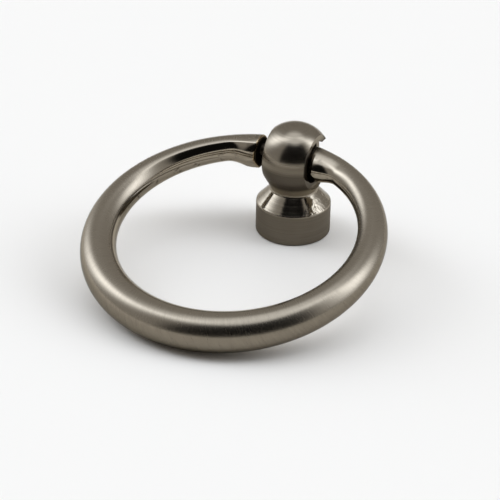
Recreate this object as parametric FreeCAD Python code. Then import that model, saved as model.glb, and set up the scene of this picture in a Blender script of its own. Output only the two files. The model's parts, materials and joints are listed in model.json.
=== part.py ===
"""Ring pull handle: a ball-headed post and a tapering ring that swings on a cross pin.

Millimetres, +Z up. The origin is the middle of the post's base face. The cross pin lies along X,
and the ring is swung down towards -Y until its front lies on the mounting surface.
"""
import FreeCAD, Part
import math
import os

# Base and neck of the post
base_diameter = 15.0
base_height = 6.5
base_top_round = 0.4
base_bottom_round = 0.4
bevel_height = 2.8
bevel_top_diameter = 9.7
neck_diameter = 9.4
neck_length = 0.5
neck_mid_share = 0.25

# Ball head of the post, which runs down into the neck as a cone
ball_diameter = 14.4
cone_angle = 28.8
flat_spacing = 9.1
spot_face_diameter = 11.0
web_thickness = 4.4
recess_clearance = 0.75
slot_height = 6.2

# Tapped hole for the mounting screw, at its core diameter
screw_hole_diameter = 3.3
screw_hole_depth = 9.0
drill_point_angle = 118.0

# Ring: diameters of its round section at the front, at the back and at the two ends. The gap between the
# ends lies off the ring's middle by gap_shift, towards -X.
ring_diameter = 53.0
front_section = 7.9
back_section = 5.1
end_section = 7.0
end_drop = 0.3
flare_length = 7.5
end_side_gap = 1.0
gap_shift = 0.5
end_edge_round = 0.4
floor_gap = 0.05

# Flat on the inner lower corner of each end: its depth at the end face and how it leans
facet_depth = 0.8
facet_lean = 20.0
facet_dip = 30.0

# Pivot pin and the ring's play on it
pin_diameter = 2.5
pin_grip = 2.8
pin_edge = 0.25
pin_depth = 3.2
running_clearance = 0.06
end_play = 1.3
end_stop_gap = 0.2

# How finely the ring is lofted
plain_sections = 16
flare_sections = 5

# Sizes that follow from those above
base_radius = base_diameter / 2
bevel_top = base_height + bevel_height
bevel_top_radius = bevel_top_diameter / 2
neck_radius = neck_diameter / 2
neck_top = bevel_top + neck_length
ball_radius = ball_diameter / 2
cone_slope = math.tan(math.radians(cone_angle))
cone_top_radius = ball_radius * math.cos(math.radians(cone_angle))
cone_top = neck_top + (cone_top_radius - neck_radius) / cone_slope
pivot_height = cone_top + ball_radius * math.sin(math.radians(cone_angle))
flat_half = flat_spacing / 2
end_radius = end_section / 2
recess_radius = end_radius + recess_clearance

ring_radius = ring_diameter / 2
end_half = flat_half + end_side_gap
ring_outer_back = ring_radius + back_section / 2
end_centre_radius = ring_outer_back - end_radius
pivot_offset = math.sqrt((ring_outer_back - pin_depth) ** 2 - end_half ** 2)
flare_angle = flare_length / ring_radius
ring_reach = pivot_offset + ring_radius
ring_droop = math.degrees(math.asin((pivot_height - front_section / 2 - floor_gap) / ring_reach))
ring_slip = end_stop_gap - end_play

pin_half_length = end_half + pin_grip
ring_bore_radius = pin_diameter / 2 + running_clearance
ring_bore_depth = pin_grip + end_play

X_AXIS = FreeCAD.Vector(1, 0, 0)
Z_AXIS = FreeCAD.Vector(0, 0, 1)
ORIGIN = FreeCAD.Vector(0, 0, 0)
PIVOT = FreeCAD.Vector(0, 0, pivot_height)

# Two places closer than this are taken as one
TOUCH = 1e-4


def at(radius, height):
    """A point of the post's half section."""
    return FreeCAD.Vector(radius, 0, height)


def box_between(low, high):
    """A box from its lowest corner to its highest."""
    size = high - low
    return Part.makeBox(size.x, size.y, size.z, low)


def post_blank():
    """The turned form: base with rounded edges, bevel, neck, cone and ball."""
    half_round = base_bottom_round * (1 - math.sqrt(0.5))
    bottom_arc = Part.Arc(
        at(base_radius - base_bottom_round, 0),
        at(base_radius - half_round, half_round),
        at(base_radius, base_bottom_round),
    )
    neck_arc = Part.Arc(
        at(bevel_top_radius, bevel_top),
        at(neck_radius + (bevel_top_radius - neck_radius) * neck_mid_share, bevel_top + neck_length / 2),
        at(neck_radius, neck_top),
    )
    ball_arc = Part.Arc(
        at(cone_top_radius, cone_top),
        at(ball_radius, pivot_height),
        at(0, pivot_height + ball_radius),
    )
    edges = [
        Part.LineSegment(at(0, 0), at(base_radius - base_bottom_round, 0)),
        bottom_arc,
        Part.LineSegment(at(base_radius, base_bottom_round), at(base_radius, base_height)),
        Part.LineSegment(at(base_radius, base_height), at(bevel_top_radius, bevel_top)),
        neck_arc,
        Part.LineSegment(at(neck_radius, neck_top), at(cone_top_radius, cone_top)),
        ball_arc,
        Part.LineSegment(at(0, pivot_height + ball_radius), at(0, 0)),
    ]
    outline = Part.Wire([edge.toShape() for edge in edges])
    blank = Part.Face(outline).revolve(ORIGIN, Z_AXIS, 360)
    return rounded_at_height(blank, base_height, base_top_round)


def rounded_at_height(solid, height, radius):
    """Round the circular edges that lie at one height."""
    rims = [edge for edge in solid.Edges if is_rim_at(edge, height)]
    return solid.makeFillet(radius, rims)


def is_rim_at(edge, height):
    """True for a circle that lies level at this height."""
    box = edge.BoundBox
    return edge.isClosed() and abs(box.ZMin - height) < TOUCH and abs(box.ZMax - height) < TOUCH


def side_recess(side):
    """What is milled from one side of the ball: spot face, round recess and its slot to the back."""
    outward = X_AXIS * side
    past_ball = ball_diameter
    spot_face = Part.makeCylinder(spot_face_diameter / 2, past_ball, PIVOT + outward * flat_half, outward)
    floor = PIVOT + outward * (web_thickness / 2)
    recess = Part.makeCylinder(recess_radius, past_ball, floor, outward)
    slot_near = floor.x
    slot_far = floor.x + side * past_ball
    slot = box_between(
        FreeCAD.Vector(min(slot_near, slot_far), 0, pivot_height - slot_height / 2),
        FreeCAD.Vector(max(slot_near, slot_far), past_ball, pivot_height + slot_height / 2),
    )
    return recess.fuse([slot, spot_face])


def screw_hole():
    """Blind hole up from the base face, with a drill point."""
    radius = screw_hole_diameter / 2
    point_length = radius / math.tan(math.radians(drill_point_angle / 2))
    straight = Part.makeCylinder(radius, screw_hole_depth)
    point = Part.makeCone(radius, 0, point_length, FreeCAD.Vector(0, 0, screw_hole_depth))
    return straight.fuse(point)


def pin_body(radius, half_length):
    """A plain cylinder along the pivot axis."""
    return Part.makeCylinder(radius, 2 * half_length, PIVOT - X_AXIS * half_length, X_AXIS)


def post():
    """The whole post."""
    cuts = [side_recess(1), side_recess(-1), screw_hole(), pin_body(pin_diameter / 2, web_thickness)]
    return post_blank().cut(cuts).removeSplitter()


def pivot_pin():
    """The pin, with both ends chamfered."""
    pin = pin_body(pin_diameter / 2, pin_half_length)
    rims = [edge for edge in pin.Edges if edge.BoundBox.XLength < pin_edge]
    return pin.makeChamfer(pin_edge, rims)


def angle_of_end(end_face):
    """Angle from the ring's front to an end whose face lies this far from the ring's middle."""
    return math.pi - math.asin(end_face / end_centre_radius)


def flare_share(angle, end_angle):
    """How far the thickening of an end has gone at this angle from the front: 0 none, 1 all of it."""
    share = max((angle - end_angle + flare_angle) / flare_angle, 0.0)
    return share * share * (3 - 2 * share)


def ring_section(angle, end_angle):
    """The ring's round section at an angle from its front.

    It tapers from front to back. Towards an end it thickens inwards and down, so that its outer side stays
    on one smooth line, and turns square to the pivot axis.
    """
    taper = (1 + math.cos(math.pi * angle / end_angle)) / 2
    plain = (back_section + (front_section - back_section) * taper) / 2
    share = flare_share(angle, end_angle)
    radius = plain + (end_radius - plain) * share
    distance = ring_radius + plain - radius
    centre = FreeCAD.Vector(distance * math.sin(angle), -distance * math.cos(angle), -end_drop * share)
    turn = angle + (math.pi - angle) * share
    section = Part.Wire(Part.makeCircle(radius, ORIGIN, X_AXIS))
    # Half a turn puts the seam on the outer side
    section.rotate(ORIGIN, X_AXIS, 180)
    section.rotate(ORIGIN, Z_AXIS, math.degrees(turn))
    section.translate(centre)
    return section


def section_angles(end_angle):
    """Angles of one half's lofted sections, closer together where the end thickens."""
    start = end_angle - flare_angle
    plain = [start * i / plain_sections for i in range(plain_sections)]
    flare = [start + flare_angle * i / flare_sections for i in range(flare_sections + 1)]
    return plain + flare


def end_facet(end_face):
    """What is ground off the inner lower corner of the end: all that lies past a leaning plane."""
    lean = math.radians(facet_lean)
    dip = math.radians(facet_dip)
    inner_lower = FreeCAD.Vector(0, -math.cos(dip), -math.sin(dip))
    outward = inner_lower * math.cos(lean) - X_AXIS * math.sin(lean)
    reach = 2 * end_section
    block = Part.makeBox(reach, reach, reach, FreeCAD.Vector(-reach / 2, -reach / 2, 0))
    end_y = -end_centre_radius * math.cos(angle_of_end(end_face)) - pivot_offset
    start = FreeCAD.Vector(end_face, end_y, -end_drop) + inner_lower * (end_radius - facet_depth)
    block.Placement = FreeCAD.Placement(start, FreeCAD.Rotation(Z_AXIS, outward)).multiply(block.Placement)
    return block


def half_ring(end_face):
    """The +X half of the ring, level, with the pivot axis through the origin and its end face at this X."""
    end_angle = angle_of_end(end_face)
    bar = Part.makeLoft([ring_section(angle, end_angle) for angle in section_angles(end_angle)], True, False)
    bar.translate(FreeCAD.Vector(0, -pivot_offset, 0))
    end_rim = [edge for edge in bar.Edges if is_rim_square_to_pin(edge, end_face)]
    bar = bar.makeFillet(end_edge_round, end_rim)
    bore = Part.makeCylinder(ring_bore_radius, end_half + ring_bore_depth, ORIGIN, X_AXIS)
    return bar.cut([bore, end_facet(end_face)])


def is_rim_square_to_pin(edge, end_face):
    """True for the closed edge of the ring's end face."""
    box = edge.BoundBox
    return abs(box.XMin - end_face) < TOUCH and abs(box.XMax - end_face) < TOUCH


def ring():
    """The ring in place: slid along its pin and swung down to lie on the mounting surface."""
    right = half_ring(end_half - gap_shift)
    left = half_ring(end_half + gap_shift).mirror(ORIGIN, X_AXIS)
    placed = right.fuse(left)
    placed.rotate(ORIGIN, X_AXIS, ring_droop)
    placed.translate(PIVOT + X_AXIS * ring_slip)
    return placed


def main():
    os.makedirs("parts", exist_ok=True)
    for make in (post, ring, pivot_pin):
        shape = make()
        print(make.__name__, "valid", shape.isValid(), "solids", len(shape.Solids))
        shape.exportStep("parts/" + make.__name__ + ".step")
    print("pivot height", round(pivot_height, 3), "droop", round(ring_droop, 3), "slip", round(ring_slip, 3))


main()
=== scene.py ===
"""Looks of the ring pull handle: a swept satin nickel ring, a turned post and its pivot pin."""
import json
import math
from collections import namedtuple

import bpy
from bpy.props import FloatProperty, FloatVectorProperty, IntProperty, PointerProperty
from mathutils import Matrix, Vector


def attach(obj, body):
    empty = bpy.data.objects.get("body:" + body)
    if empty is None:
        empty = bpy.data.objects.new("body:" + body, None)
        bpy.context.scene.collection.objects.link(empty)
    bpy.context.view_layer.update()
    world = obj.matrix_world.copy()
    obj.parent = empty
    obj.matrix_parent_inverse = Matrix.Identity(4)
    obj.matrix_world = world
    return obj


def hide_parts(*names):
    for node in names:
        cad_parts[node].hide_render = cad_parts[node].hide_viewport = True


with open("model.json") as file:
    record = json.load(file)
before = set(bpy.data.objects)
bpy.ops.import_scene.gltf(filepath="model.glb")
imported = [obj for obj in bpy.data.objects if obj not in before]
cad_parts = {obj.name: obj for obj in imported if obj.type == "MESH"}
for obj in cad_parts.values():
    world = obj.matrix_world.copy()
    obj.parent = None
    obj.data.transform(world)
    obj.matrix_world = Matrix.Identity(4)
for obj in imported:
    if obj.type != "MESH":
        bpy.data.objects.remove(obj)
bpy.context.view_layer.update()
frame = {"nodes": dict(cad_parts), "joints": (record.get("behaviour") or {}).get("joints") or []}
SWING = frame["joints"][0]
PIVOT_HEIGHT = SWING["pos_m"][2]
MM = 0.001

bl_info = {
    "name": "Ring pull handle",
    "version": (1, 0, 0),
    "blender": (4, 5, 0),
    "location": "View3D > Sidebar > Ring pull",
    "description": "Builds the ring of a ring pull, finishes its post and pin, and sets a plain studio",
    "category": "Object",
}


class Wire:
    """A node's output that can be used in Python expressions; each operator adds a Math node."""

    def __init__(self, tree, socket=None):
        self.tree = tree
        self.socket = socket

    def node(self, kind, settings=None, inputs=None, output=0):
        """Add one node: its settings first, then the values or links of its sockets."""
        made = self.tree.nodes.new(kind)
        for name, value in (settings or {}).items():
            setattr(made, name, value)
        for key, value in (inputs or {}).items():
            self.feed(made.inputs[key], value)
        return Wire(self.tree, made.outputs[output] if made.outputs else None)

    def feed(self, socket, value):
        """Link a wire to a socket, or set the socket's own value."""
        if isinstance(value, Wire):
            self.tree.links.new(value.socket, socket)
        else:
            socket.default_value = value

    def maths(self, operation, *values):
        """One Math node."""
        return self.node("ShaderNodeMath", {"operation": operation}, dict(enumerate(values)))

    def part(self, output):
        """Another output of the same node."""
        return Wire(self.tree, self.socket.node.outputs[output])

    def __add__(self, other):
        return self.maths("ADD", self, other)

    __radd__ = __add__

    def __sub__(self, other):
        return self.maths("SUBTRACT", self, other)

    def __rsub__(self, other):
        return self.maths("SUBTRACT", other, self)

    def __mul__(self, other):
        return self.maths("MULTIPLY", self, other)

    __rmul__ = __mul__

    def __truediv__(self, other):
        return self.maths("DIVIDE", self, other)

    def __rtruediv__(self, other):
        return self.maths("DIVIDE", other, self)

    def __pow__(self, other):
        return self.maths("POWER", self, other)

    def __neg__(self):
        return self.maths("MULTIPLY", self, -1.0)

    def sin(self):
        return self.maths("SINE", self)

    def cos(self):
        return self.maths("COSINE", self)

    def root(self):
        return self.maths("SQRT", self)

    def size(self):
        """The value without its sign."""
        return self.maths("ABSOLUTE", self)

    def most(self, other):
        """The larger of two values."""
        return self.maths("MAXIMUM", self, other)

    def ramp(self, start, end, low=0.0, high=1.0, smooth=False):
        """Go from low to high between start and end, and stay there outside them."""
        kind = "SMOOTHSTEP" if smooth else "LINEAR"
        values = {0: self, 1: start, 2: end, 3: low, 4: high}
        return self.node("ShaderNodeMapRange", {"interpolation_type": kind, "clamp": True}, values)

    def hump(self, middle, width):
        """A bell shape round a middle value."""
        away = (self - middle) / width
        return self.maths("EXPONENT", -(away * away))

    def noise(self, scale, detail, roughness=0.5):
        """Noise read at this place."""
        return self.node("ShaderNodeTexNoise", None, {
            "Vector": self, "Scale": scale, "Detail": detail, "Roughness": roughness})

    def blend(self, under, over):
        """One colour over another, where this is the share of the upper one."""
        return self.node("ShaderNodeMix", {"data_type": "RGBA"}, {0: self, 6: under, 7: (*over, 1)}, output=2)


class RingPullSizes(bpy.types.PropertyGroup):
    """Sizes of the ring and of its ends."""

    ring_diameter: FloatProperty(
        name="Ring diameter", description="Diameter of the ring's middle line",
        default=53.0 * MM, min=20 * MM, unit="LENGTH", subtype="DISTANCE")
    front_section: FloatProperty(
        name="Front section", description="Diameter of the bar at the front of the ring",
        default=7.9 * MM, min=1 * MM, unit="LENGTH", subtype="DISTANCE")
    back_section: FloatProperty(
        name="Back section", description="Diameter of the bar just before its ends thicken",
        default=5.1 * MM, min=1 * MM, unit="LENGTH", subtype="DISTANCE")
    end_section: FloatProperty(
        name="End section", description="Diameter of the two ends",
        default=7.0 * MM, min=1 * MM, unit="LENGTH", subtype="DISTANCE")
    end_drop: FloatProperty(
        name="End drop", description="How far the ends lie below the ring's middle plane",
        default=0.3 * MM, min=0, unit="LENGTH", subtype="DISTANCE")
    end_half: FloatProperty(
        name="Half gap", description="Half the gap between the two ends",
        default=5.55 * MM, min=1 * MM, unit="LENGTH", subtype="DISTANCE")
    gap_shift: FloatProperty(
        name="Gap shift", description="How far the middle of the gap lies off the ring's middle, towards -X",
        default=0.5 * MM, min=0, unit="LENGTH", subtype="DISTANCE")
    flare_length: FloatProperty(
        name="Flare length", description="Length over which each end thickens",
        default=7.5 * MM, min=1 * MM, unit="LENGTH", subtype="DISTANCE")
    end_edge_round: FloatProperty(
        name="End edge round", description="Radius of the edge of each end face",
        default=0.4 * MM, min=0.05 * MM, unit="LENGTH", subtype="DISTANCE")
    facet_depth: FloatProperty(
        name="Facet depth", description="How deep the inner lower corner of each end is ground off",
        default=0.8 * MM, min=0, unit="LENGTH", subtype="DISTANCE")
    facet_lean: FloatProperty(
        name="Facet lean", description="How far the ground flat leans towards the end face",
        default=math.radians(20), subtype="ANGLE", unit="ROTATION")
    facet_dip: FloatProperty(
        name="Facet dip", description="How far the ground flat faces down",
        default=math.radians(30), subtype="ANGLE", unit="ROTATION")
    pin_depth: FloatProperty(
        name="Pin depth", description="From the outer side of the ring to the pivot axis",
        default=3.2 * MM, min=1 * MM, unit="LENGTH", subtype="DISTANCE")
    bore_diameter: FloatProperty(
        name="Bore", description="Diameter of the hole for the pivot pin",
        default=2.62 * MM, min=0.5 * MM, unit="LENGTH", subtype="DISTANCE")
    bore_depth: FloatProperty(
        name="Bore depth", description="Depth of the hole for the pivot pin",
        default=4.1 * MM, min=0.5 * MM, unit="LENGTH", subtype="DISTANCE")
    side_slip: FloatProperty(
        name="Side slip", description="How far the ring has slid along its pin",
        default=-1.1 * MM, unit="LENGTH", subtype="DISTANCE")
    floor_gap: FloatProperty(
        name="Floor gap", description="Room between the front of the ring and the mounting surface",
        default=0.05 * MM, min=0, unit="LENGTH", subtype="DISTANCE")
    around_steps: IntProperty(
        name="Steps around", description="Faces round the bar", default=112, min=16)


class RingPullFinish(bpy.types.PropertyGroup):
    """Colours and gloss of the metal."""

    nickel_colour: FloatVectorProperty(
        name="Nickel", description="Colour of the satin nickel plating",
        default=(0.306, 0.266, 0.205), min=0, max=1, subtype="COLOR")
    # Also used as painted shade: the darker lower outer side of the ring, and the darker base and cone of the
    # post
    wear_and_shade_colour: FloatVectorProperty(
        name="Dull", description="Darker metal where the plating is dull or scratched",
        default=(0.094, 0.079, 0.060), min=0, max=1, subtype="COLOR")
    # Painted light: used only for a lighter band round the post's neck
    painted_light_colour: FloatVectorProperty(
        name="Bright", description="Lighter metal where it is rubbed",
        default=(0.54, 0.48, 0.38), min=0, max=1, subtype="COLOR")
    # Painted shade: near-black where the ring's ends sit in the head, on their faces and bores and in the
    # post's pockets
    gap_shade_colour: FloatVectorProperty(
        name="Gap", description="Dirt in the gaps between the ring's ends and the head",
        default=(0.012, 0.009, 0.006), min=0, max=1, subtype="COLOR")
    # Painted highlight: golden-brown on the rounded edges of the ring's ends
    edge_highlight_colour: FloatVectorProperty(
        name="Edge", description="Yellow tarnish on the edges of the ring's ends",
        default=(0.28, 0.20, 0.105), min=0, max=1, subtype="COLOR")
    pin_colour: FloatVectorProperty(
        name="Pin", description="Colour of the dull steel pin",
        default=(0.075, 0.06, 0.043), min=0, max=1, subtype="COLOR")
    brushed_roughness: FloatProperty(
        name="Brushed roughness", description="Roughness of the brushed metal",
        default=0.24, min=0, max=1, subtype="FACTOR")
    plain_roughness: FloatProperty(
        name="Unbrushed roughness", description="Roughness where the brush didn't reach",
        default=0.10, min=0, max=1, subtype="FACTOR")


class RingPullStage(bpy.types.PropertyGroup):
    """The studio round the handle."""

    floor_colour: FloatVectorProperty(
        name="Floor", description="Colour of the floor",
        default=(0.941, 0.898, 0.816), min=0, max=1, subtype="COLOR")
    floor_size: FloatProperty(
        name="Floor size", description="Length of the floor's sides",
        default=6.0, min=0.5, unit="LENGTH", subtype="DISTANCE")
    focal_length: FloatProperty(
        name="Focal length", description="Lens of the camera, in millimetres",
        default=185.62, min=20, subtype="DISTANCE_CAMERA")


def principled(tree, inputs):
    """The metal's shader, linked to the material's output."""
    start = Wire(tree)
    settings = {"Metallic": 1.0, "Specular IOR Level": 0.0, "Specular Tint": (0.70, 0.68, 0.65, 1)}
    shader = start.node("ShaderNodeBsdfPrincipled", None, {**settings, **inputs})
    start.node("ShaderNodeOutputMaterial", None, {"Surface": shader})


def new_material(name):
    """An empty node material."""
    material = bpy.data.materials.new(name)
    material.use_nodes = True
    material.node_tree.nodes.clear()
    return material


def dress(obj, material):
    """Give an object this one material."""
    obj.data.materials.clear()
    obj.data.materials.append(material)


# Angles from the ring's front, in radians and negative on its left side, between which an arm's finish changes
LEFT_ARM = (-1.75, -2.2)
RIGHT_END = (2.5, 2.7)
RIGHT_FULLER = (2.45, 2.75)
SEAM_ENDS = (2.7, 2.5)
SEAM_FRONT = (0.3, 0.6)
DARK_SPOT_ANGLE = -1.6
BUMP_DEPTH = 0.04 * MM


def ring_material(finish):
    """Satin nickel brushed across the bar, left smooth and pitted where the brush didn't reach."""
    material = new_material("ring_satin_nickel")
    start = Wire(material.node_tree)
    along = start.node("ShaderNodeAttribute", {"attribute_name": "along"}, output="Fac")
    facing = start.node("ShaderNodeAttribute", {"attribute_name": "facing"}, output="Vector")
    place = start.node("ShaderNodeTexCoord", None, None, "Object")
    split = start.node("ShaderNodeSeparateXYZ", None, {0: facing})
    outward, upward, lip = split, split.part("Y"), split.part("Z")
    from_front = along.size()
    streak_place = start.node(
        "ShaderNodeCombineXYZ", None, {0: along * 150.0 + upward * 9.0, 1: outward * 1.5, 2: upward * 1.5})
    streaks = streak_place.noise(1.0, 3.0, 0.7)
    grain = place.noise(900.0, 4.0)

    # The inner side was cast smooth below a seam that climbs towards the front, and the brush ran over the rest
    seam_place = from_front * -0.4 + along.ramp(-0.5, 0.5, 1.05, 1.25)
    inside = outward.ramp(-0.1, -0.5, smooth=True)
    left_arm = along.ramp(*LEFT_ARM, smooth=True)
    arms = left_arm.most(along.ramp(*RIGHT_END, smooth=True))
    under = inside * (upward - seam_place).ramp(0.04, -0.04)
    smooth = under.most(inside * arms)

    # Marks: the seam, casting pits, a small dark spot inside the left arm and wear at the ends
    seam = (upward - seam_place).hump(0.0, 0.05) * inside
    seam = seam * from_front.ramp(*SEAM_ENDS) * from_front.ramp(*SEAM_FRONT)
    pits = grain.ramp(0.58, 0.68) * outward.ramp(-0.6, -0.9) * upward.ramp(0.4, 0.1)
    dark_spot = along.hump(DARK_SPOT_ANGLE, 0.14) * upward.hump(0.33, 0.1) * inside
    darkening = from_front.ramp(2.72, 2.9, smooth=True) * grain.ramp(0.5, 0.65) * 0.6
    for mark in (pits, seam * 0.8, dark_spot * 0.85):
        darkening = darkening.most(mark)

    # The left arm is flatter inside than a round bar and the right end fuller, which turns what they mirror
    aside = start.maths("ARCTAN2", upward, -outward) * (180 / math.pi)
    flatter = aside.ramp(22, 68, 0.0, 8.2) * aside.ramp(160, 72) * left_arm
    fuller = aside.ramp(5, 75, 18.0, 0.0, smooth=True) * along.ramp(*RIGHT_FULLER, smooth=True)
    height = (streaks * (1 - smooth * 0.92) * 0.75 - pits * 1.5 - seam * 5.0) * 0.22 + flatter + fuller
    bump = start.node("ShaderNodeBump", None, {"Strength": 1.0, "Distance": BUMP_DEPTH, "Height": height})

    # Painted shade: near-black end faces and bores, and a darker lower outer side
    gap_shade = lip.ramp(0.25, 0.45)
    outer_low_shade = outward.ramp(0.0, 0.4, smooth=True) * upward.ramp(0.62, 0.35, smooth=True)
    brushed = finish.brushed_roughness + 0.02 + (streaks - 0.5) * 0.10
    roughness = brushed * (1 - smooth) + finish.plain_roughness * smooth + pits * 0.15 + gap_shade * 0.4
    # The brushing streaks are the metal's own tone; the darker lower outer side is painted shade
    dull = streaks.ramp(0.35, 0.75) * (1 - smooth) * 0.24 + outer_low_shade * 0.35
    colour = dull.most(darkening * 0.9).blend((*finish.nickel_colour, 1), finish.wear_and_shade_colour)
    # Painted highlight: a golden-brown band on the rounded edges of the ends
    colour = (lip.ramp(0.02, 0.12) * 0.8).blend(colour, finish.edge_highlight_colour)
    # Painted shade: the end faces and bores go near-black and lose their metal
    colour = gap_shade.blend(colour, finish.gap_shade_colour)
    principled(material.node_tree, {
        "Base Color": colour, "Roughness": roughness, "Metallic": 1 - gap_shade, "Normal": bump})
    return material


# Heights on the post where its finish changes, in millimetres
BASE_TOP = 6.5
BEVEL_TOP = 9.4
NECK_TOP = 11.8
CONE_TOP = 17.0
FLAT_SIDE = 4.6
RECESS_RADIUS = 4.32
SPOT_FACE_RADIUS = 5.6


def post_material(finish):
    """Satin nickel with turning lines round the post: a bright bevel, painted shade that darkens the base, the
    cone and the pockets, and a painted light band on the neck.
    """
    material = new_material("post_satin_nickel")
    start = Wire(material.node_tree)
    place = start.node("ShaderNodeTexCoord", None, None, "Object")
    split = start.node("ShaderNodeSeparateXYZ", None, {0: place})
    x, y, z = (split.part(axis) / MM for axis in "XYZ")
    line_place = start.node("ShaderNodeCombineXYZ", None, {0: x * 0.06, 1: y * 0.06, 2: z * 4.5})
    lines = line_place.noise(1.0, 3.0, 0.7)
    dents = place.noise(1200.0, 3.0)

    # Painted shade in the pockets for the ring's ends, below the hook
    up = z - PIVOT_HEIGHT / MM
    from_pin = (y * y + up * up).root()
    rim = up.ramp(-3.0, -1.0, RECESS_RADIUS, SPOT_FACE_RADIUS)
    pocket_shade = x.size().ramp(FLAT_SIDE + 0.06, FLAT_SIDE) * from_pin.ramp(rim + 0.03, rim - 0.03)
    pocket_shade = pocket_shade * up.ramp(4.5, 2.5, smooth=True)

    # The post's zones from the bottom up, and scuffs on one side of the bevel
    base = z.ramp(BASE_TOP, BASE_TOP - 0.3)
    bevel = z.ramp(BASE_TOP + 0.1, BASE_TOP + 0.3) * z.ramp(BEVEL_TOP + 0.2, BEVEL_TOP)
    neck = z.ramp(BEVEL_TOP + 0.3, BEVEL_TOP + 0.5) * z.ramp(NECK_TOP, NECK_TOP - 1.0, smooth=True)
    cone = z.ramp(NECK_TOP - 1.4, NECK_TOP, smooth=True) * z.ramp(CONE_TOP, CONE_TOP - 2.0, smooth=True)
    head = z.ramp(BEVEL_TOP - 0.4, BEVEL_TOP + 0.6)
    low_head = head * z.ramp(CONE_TOP + 1.6, CONE_TOP - 0.6, smooth=True)
    scuffed = z.ramp(BASE_TOP - 1.1, BASE_TOP + 0.1) * z.ramp(BEVEL_TOP - 0.2, BEVEL_TOP - 0.8)
    scuffed = scuffed * x.ramp(4.6, 5.4)

    strokes = lines.ramp(0.35, 0.75) * (0.12 + z.ramp(6.0, 10.0, 0.0, 0.14))
    # Painted shade: the base and the cone much darker. Above the bevel the post is a little darker, and the
    # turning strokes are the metal's own
    darkening = (base * 0.64).most(cone * 0.78) + strokes + head * 0.14
    roughness = finish.brushed_roughness + (lines - 0.5) * 0.12 + pocket_shade * 0.25
    roughness = roughness + base * 0.30 - bevel * 0.12 - head * 0.03 + low_head * 0.18
    height = lines * (1 - head * 0.5) + dents * scuffed * 9.0
    bump = start.node("ShaderNodeBump", None, {"Strength": 0.4, "Distance": BUMP_DEPTH, "Height": height})
    colour = darkening.blend((*finish.nickel_colour, 1), finish.wear_and_shade_colour)
    # Painted light: a lighter band round the neck
    colour = (neck * 0.4).blend(colour, finish.painted_light_colour)
    # Painted shade in the pockets
    colour = pocket_shade.blend(colour, finish.gap_shade_colour)
    principled(material.node_tree, {
        "Base Color": colour, "Roughness": roughness, "Metallic": 1 - pocket_shade, "Normal": bump})
    return material


def pin_material(finish):
    """Dull steel with a little tarnish."""
    material = new_material("pin_steel")
    start = Wire(material.node_tree)
    place = start.node("ShaderNodeTexCoord", None, None, "Object")
    grain = place.noise(900.0, 4.0)
    colour = grain.ramp(0.4, 0.7).blend((*finish.pin_colour, 1), finish.wear_and_shade_colour)
    principled(material.node_tree, {"Base Color": colour, "Roughness": 0.34 + grain * 0.2})
    return material


RING_INPUTS = (
    "ring_diameter", "front_section", "back_section", "end_section", "end_drop", "end_half", "gap_shift",
    "flare_length", "end_edge_round", "facet_depth", "facet_lean", "facet_dip", "pin_depth", "bore_diameter",
    "bore_depth", "side_slip", "floor_gap",
)
# Rows of the grid on each half of the ring, how many of them make the bar, and where the end's parts stop
ROWS_HALF = 300
BAR_ROWS = 270
BAR_END = BAR_ROWS / ROWS_HALF
ROUND_END, FACE_END, WALL_END = 0.4, 0.6, 0.8
SEAM_TURN = math.radians(120)


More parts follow.
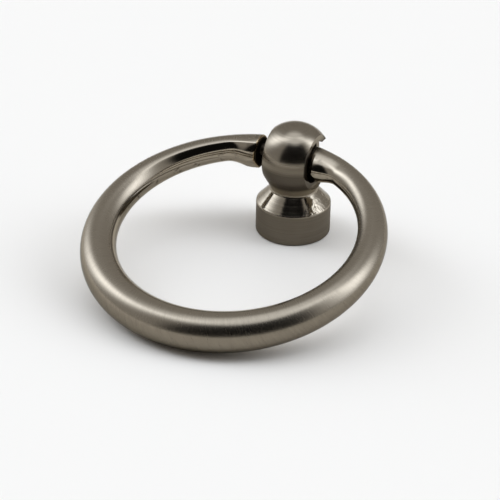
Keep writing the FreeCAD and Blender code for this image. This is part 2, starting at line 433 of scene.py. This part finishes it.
def ring_tree(sizes, material):
    """Geometry Nodes that sweep the ring: a grid whose every point is placed by the ring's own rule."""
    tree = bpy.data.node_groups.new("ring_bar", "GeometryNodeTree")
    tree.is_modifier = True
    tree.interface.new_socket("Geometry", in_out="OUTPUT", socket_type="NodeSocketGeometry")
    for name in RING_INPUTS:
        tree.interface.new_socket(name, in_out="INPUT", socket_type="NodeSocketFloat")
    start = Wire(tree)
    group = start.node("NodeGroupInput")
    size = {name: group.part(name) for name in RING_INPUTS}

    # Where each point of the grid lies: along the bar from front to end, and round the bar
    grid = start.node("GeometryNodeMeshGrid", None, {
        "Size X": 2.0, "Size Y": 1.0, "Vertices X": 2 * ROWS_HALF + 1, "Vertices Y": sizes.around_steps + 1})
    flat = start.node("ShaderNodeSeparateXYZ", None, {0: start.node("GeometryNodeInputPosition")})
    side = start.maths("SIGN", flat)
    run = flat.size()
    round_bar = flat.part("Y") * math.tau + SEAM_TURN
    across, upright = round_bar.cos(), round_bar.sin()

    # Sizes that follow from the inputs
    ring_radius = size["ring_diameter"] / 2
    end_radius = size["end_section"] / 2
    end_half = size["end_half"]
    end_face = end_half - size["gap_shift"] * side
    edge = size["end_edge_round"]
    outer_back = ring_radius + size["back_section"] / 2
    end_middle = outer_back - end_radius
    end_angle = math.pi - start.maths("ARCSINE", end_face / end_middle)
    pin_line = outer_back - size["pin_depth"]
    pivot_offset = (pin_line * pin_line - end_half * end_half).root()
    flare_angle = size["flare_length"] / ring_radius
    reach = pivot_offset + ring_radius
    rise = PIVOT_HEIGHT - size["front_section"] / 2 - size["floor_gap"]
    droop = start.maths("ARCSINE", rise / reach)

    # The bar's section at that place
    bar_share = run.ramp(0.0, BAR_END)
    angle = (end_angle - edge / end_middle) * (1 - (1 - bar_share) ** 1.4)
    taper = ((angle * math.pi / end_angle).cos() + 1) / 2
    plain = (size["back_section"] + (size["front_section"] - size["back_section"]) * taper) / 2
    flare = ((angle - end_angle + flare_angle) / flare_angle).ramp(0.0, 1.0, smooth=True)
    radius = plain + (end_radius - plain) * flare
    distance = ring_radius + plain - radius
    turn = angle + (math.pi - angle) * flare

    # Past the bar: the rounded edge, the end face, and the wall and floor of the bore
    lip = run.ramp(BAR_END, 1.0)
    bend = lip.ramp(0.0, ROUND_END) * (math.pi / 2)
    face = lip.ramp(ROUND_END, FACE_END)
    wall = lip.ramp(FACE_END, WALL_END)
    closing = lip.ramp(WALL_END, 1.0)
    rim = radius - edge * (1 - bend.cos())
    spread = (rim * (1 - face) + size["bore_diameter"] / 2 * face) * (1 - closing)
    inward = (end_half - end_face + size["bore_depth"]) * wall - edge * bend.sin()
    px = distance * angle.sin() + spread * across * turn.sin() + inward
    py = (-(distance * angle.cos()) - pivot_offset) * (1 - face) - spread * across * turn.cos()
    pz = spread * upright - size["end_drop"] * flare * (1 - face)

    # The flat ground on the inner lower corner of the end
    lean, dip = size["facet_lean"], size["facet_dip"]
    nx, ny, nz = -lean.sin(), -(dip.cos() * lean.cos()), -(dip.sin() * lean.cos())
    depth = end_radius - size["facet_depth"]
    end_y = -(end_middle * end_angle.cos()) - pivot_offset
    past = (px - end_face) * nx + (py - end_y + dip.cos() * depth) * ny
    past = past + (pz + size["end_drop"] + dip.sin() * depth) * nz
    near_end = flare.ramp(0.02, 0.06) * (1 - face)
    cut = past.most(0.0) * near_end
    point = start.node("ShaderNodeCombineXYZ", None, {
        0: (px - cut * nx) * side, 1: py - cut * ny, 2: pz - cut * nz})

    # What the finish reads is kept on the points, and then they move to their places
    facing = start.node("ShaderNodeCombineXYZ", None, {0: across, 1: upright, 2: lip})
    named = grid
    for name, value, kind in (("along", angle * side, "FLOAT"), ("facing", facing, "FLOAT_VECTOR")):
        named = start.node("GeometryNodeStoreNamedAttribute", {"data_type": kind, "domain": "POINT"}, {
            "Geometry": named, "Name": name, "Value": value})
    ring = start.node("GeometryNodeSetPosition", None, {"Geometry": named, "Position": point})
    merged = start.node("GeometryNodeMergeByDistance", None, {"Geometry": ring, "Distance": 1e-6})
    turned = start.node("GeometryNodeTransform", None, {
        "Geometry": merged,
        "Translation": start.node("ShaderNodeCombineXYZ", None, {0: size["side_slip"], 2: PIVOT_HEIGHT}),
        "Rotation": start.node("ShaderNodeCombineXYZ", None, {0: droop})})
    smooth = start.node("GeometryNodeSetShadeSmooth", None, {"Geometry": turned})
    real = start.node("GeometryNodeRealizeInstances", None, {"Geometry": smooth})
    done = start.node("GeometryNodeSetMaterial", None, {"Geometry": real, "Material": material})
    start.node("NodeGroupOutput", None, {"Geometry": done})
    return tree


class RINGPULL_OT_ring(bpy.types.Operator):
    """Build the ring from its sizes"""

    bl_idname = "ringpull.ring"
    bl_label = "Build ring"

    def execute(self, context):
        sizes, finish = context.scene.ringpull_sizes, context.scene.ringpull_finish
        material = ring_material(finish)
        tree = ring_tree(sizes, material)
        blank = bpy.data.objects.new("ring_blank", bpy.data.meshes.new("ring_blank"))
        context.scene.collection.objects.link(blank)
        modifier = blank.modifiers.new("ring_bar", "NODES")
        modifier.node_group = tree
        for item in tree.interface.items_tree:
            if item.in_out == "INPUT":
                modifier[item.identifier] = getattr(sizes, item.name)
        graph = context.evaluated_depsgraph_get()
        mesh = bpy.data.meshes.new_from_object(blank.evaluated_get(graph))
        bpy.data.objects.remove(blank)
        mesh.name = "ring_bar"
        mesh.set_sharp_from_angle(angle=math.radians(50))
        ring = bpy.data.objects.new("ring_bar", mesh)
        context.scene.collection.objects.link(ring)
        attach(ring, "ring_body")
        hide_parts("ring")
        return {"FINISHED"}


class RINGPULL_OT_post(bpy.types.Operator):
    """Finish the post"""

    bl_idname = "ringpull.post"
    bl_label = "Finish post"

    def execute(self, context):
        post = frame["nodes"]["post"]
        dress(post, post_material(context.scene.ringpull_finish))
        return {"FINISHED"}


class RINGPULL_OT_pin(bpy.types.Operator):
    """Finish the pivot pin"""

    bl_idname = "ringpull.pin"
    bl_label = "Finish pin"

    def execute(self, context):
        pin = frame["nodes"]["pivot_pin"]
        dress(pin, pin_material(context.scene.ringpull_finish))
        return {"FINISHED"}


# The studio, as brightness by azimuth from the front and height above the floor, in degrees
SoftBox = namedtuple("SoftBox", "level azimuth wide rise tall lean")
TopBox = namedtuple("TopBox", "level azimuth rise outer inner")
DarkPanel = namedtuple("DarkPanel", "azimuth half soft bottom top")
AMBIENT = 0.495
LEFT_BOX = SoftBox(level=3.85, azimuth=-84, wide=17, rise=38, tall=30, lean=0.62)
RIGHT_BOX = SoftBox(level=3.75, azimuth=114, wide=17, rise=40, tall=35, lean=0.0)
TOP_BOX = TopBox(level=1.24, azimuth=-40, rise=86, outer=34, inner=13)
DARK_FRONT = DarkPanel(azimuth=24, half=50, soft=5, bottom=2, top=66)
AMBIENT_TINT = (1.01, 1.0, 1.01)
LAMP_TINT = (0.92, 1.0, 1.15)

CAMERA_AZIMUTH = math.radians(25.229)
CAMERA_HEIGHT = math.radians(29.982)
CAMERA_ROLL = math.radians(1.143)
CAMERA_DISTANCE = 500.5 * MM
CAMERA_AIM = Vector((0, -20, 8)) * MM
CAMERA_SLIDE = (0.049 * MM, 2.523 * MM)


def studio_world():
    """Soft boxes left, right and above in a dim tent that is open and dark behind the camera."""
    world = bpy.data.worlds.new("studio")
    world.use_nodes = True
    world.node_tree.nodes.clear()
    start = Wire(world.node_tree)
    direction = start.node("ShaderNodeTexCoord", None, None, "Generated")
    split = start.node("ShaderNodeSeparateXYZ", None, {0: direction})
    x, y, z = split, split.part("Y"), split.part("Z")
    azimuth = start.maths("ARCTAN2", x, -y) * (180 / math.pi)
    height = start.maths("ARCSINE", z) * (180 / math.pi)
    panel = DARK_FRONT
    away = (azimuth - panel.azimuth).size()
    dark = away.ramp(panel.half + panel.soft, panel.half - panel.soft, smooth=True)
    dark = dark * height.ramp(panel.top + panel.soft, panel.top - panel.soft, smooth=True)
    dark = dark * height.ramp(panel.bottom - panel.soft / 2, panel.bottom + panel.soft / 2, smooth=True)
    ambient = AMBIENT * (1 - dark * 0.98)
    lamps = 0.0
    for box in (LEFT_BOX, RIGHT_BOX):
        beside = (azimuth - (height - box.rise) * box.lean).hump(box.azimuth, box.wide)
        lamps = lamps + box.level * beside * height.hump(box.rise, box.tall)
    turn, rise = math.radians(TOP_BOX.azimuth), math.radians(TOP_BOX.rise)
    level_part = x * math.sin(turn) - y * math.cos(turn)
    near = level_part * math.cos(rise) + z * math.sin(rise)
    edges = [math.cos(math.radians(angle)) for angle in (TOP_BOX.outer, TOP_BOX.inner)]
    lamps = lamps + TOP_BOX.level * near.ramp(*edges, smooth=True) * (1 - dark)
    tinted = [
        start.node("ShaderNodeVectorMath", {"operation": "SCALE"}, {0: tint, "Scale": light})
        for tint, light in ((AMBIENT_TINT, ambient), (LAMP_TINT, lamps))]
    colour = start.node("ShaderNodeVectorMath", {"operation": "ADD"}, dict(enumerate(tinted)))
    background = start.node("ShaderNodeBackground", None, {"Color": colour, "Strength": 1.0})
    start.node("ShaderNodeOutputWorld", None, {"Surface": background})
    return world


def floor_material(stage):
    """A pale matt floor."""
    material = new_material("studio_floor")
    start = Wire(material.node_tree)
    diffuse = start.node("ShaderNodeBsdfDiffuse", None, {"Color": (*stage.floor_colour, 1)})
    start.node("ShaderNodeOutputMaterial", None, {"Surface": diffuse})
    return material


def photo_camera(stage):
    """The camera at the photograph's viewing angle."""
    data = bpy.data.cameras.new("camera")
    data.sensor_width = 36
    data.lens = stage.focal_length
    data.clip_start = 0.01
    data.clip_end = 20
    camera = bpy.data.objects.new("camera", data)
    sa, ca = math.sin(CAMERA_AZIMUTH), math.cos(CAMERA_AZIMUTH)
    se, ce = math.sin(CAMERA_HEIGHT), math.cos(CAMERA_HEIGHT)
    right = Vector((ca, sa, 0))
    back = Vector((sa * ce, -ca * ce, se))
    up = back.cross(right)
    sr, cr = math.sin(CAMERA_ROLL), math.cos(CAMERA_ROLL)
    right, up = right * cr + up * sr, up * cr - right * sr
    place = CAMERA_AIM + back * CAMERA_DISTANCE - right * CAMERA_SLIDE[0] - up * CAMERA_SLIDE[1]
    turn = Matrix((right, up, back)).transposed().to_4x4()
    camera.matrix_world = Matrix.Translation(place) @ turn
    return camera


class RINGPULL_OT_stage(bpy.types.Operator):
    """Set the floor, the light and the camera"""

    bl_idname = "ringpull.stage"
    bl_label = "Set stage"

    def execute(self, context):
        scene, stage = context.scene, context.scene.ringpull_stage
        half = stage.floor_size / 2
        mesh = bpy.data.meshes.new("floor")
        corners = [(-half, -half, 0), (half, -half, 0), (half, half, 0), (-half, half, 0)]
        mesh.from_pydata(corners, [], [(0, 1, 2, 3)])
        floor = bpy.data.objects.new("floor", mesh)
        dress(floor, floor_material(stage))
        scene.collection.objects.link(floor)
        scene.world = studio_world()
        camera = photo_camera(stage)
        scene.collection.objects.link(camera)
        scene.camera = camera
        scene.view_settings.view_transform = "Standard"
        return {"FINISHED"}


class RINGPULL_PT_panel(bpy.types.Panel):
    """Sizes, finish and steps of the ring pull"""

    bl_idname = "RINGPULL_PT_panel"
    bl_label = "Ring pull"
    bl_space_type = "VIEW_3D"
    bl_region_type = "UI"
    bl_category = "Ring pull"

    def draw(self, context):
        scene = context.scene
        for group in (scene.ringpull_sizes, scene.ringpull_finish, scene.ringpull_stage):
            column = self.layout.column()
            for name in group.bl_rna.properties.keys():
                if name not in ("rna_type", "name"):
                    column.prop(group, name)
        for operator in OPERATORS:
            self.layout.operator(operator.bl_idname)


OPERATORS = (RINGPULL_OT_ring, RINGPULL_OT_post, RINGPULL_OT_pin, RINGPULL_OT_stage)
CLASSES = (RingPullSizes, RingPullFinish, RingPullStage, *OPERATORS, RINGPULL_PT_panel)


def register():
    for item in CLASSES:
        bpy.utils.register_class(item)
    bpy.types.Scene.ringpull_sizes = PointerProperty(type=RingPullSizes)
    bpy.types.Scene.ringpull_finish = PointerProperty(type=RingPullFinish)
    bpy.types.Scene.ringpull_stage = PointerProperty(type=RingPullStage)


def unregister():
    del bpy.types.Scene.ringpull_stage
    del bpy.types.Scene.ringpull_finish
    del bpy.types.Scene.ringpull_sizes
    for item in reversed(CLASSES):
        bpy.utils.unregister_class(item)


def main():
    register()
    bpy.ops.ringpull.ring()
    bpy.ops.ringpull.post()
    bpy.ops.ringpull.pin()
    bpy.ops.ringpull.stage()


if __name__ == "__main__":
    main()
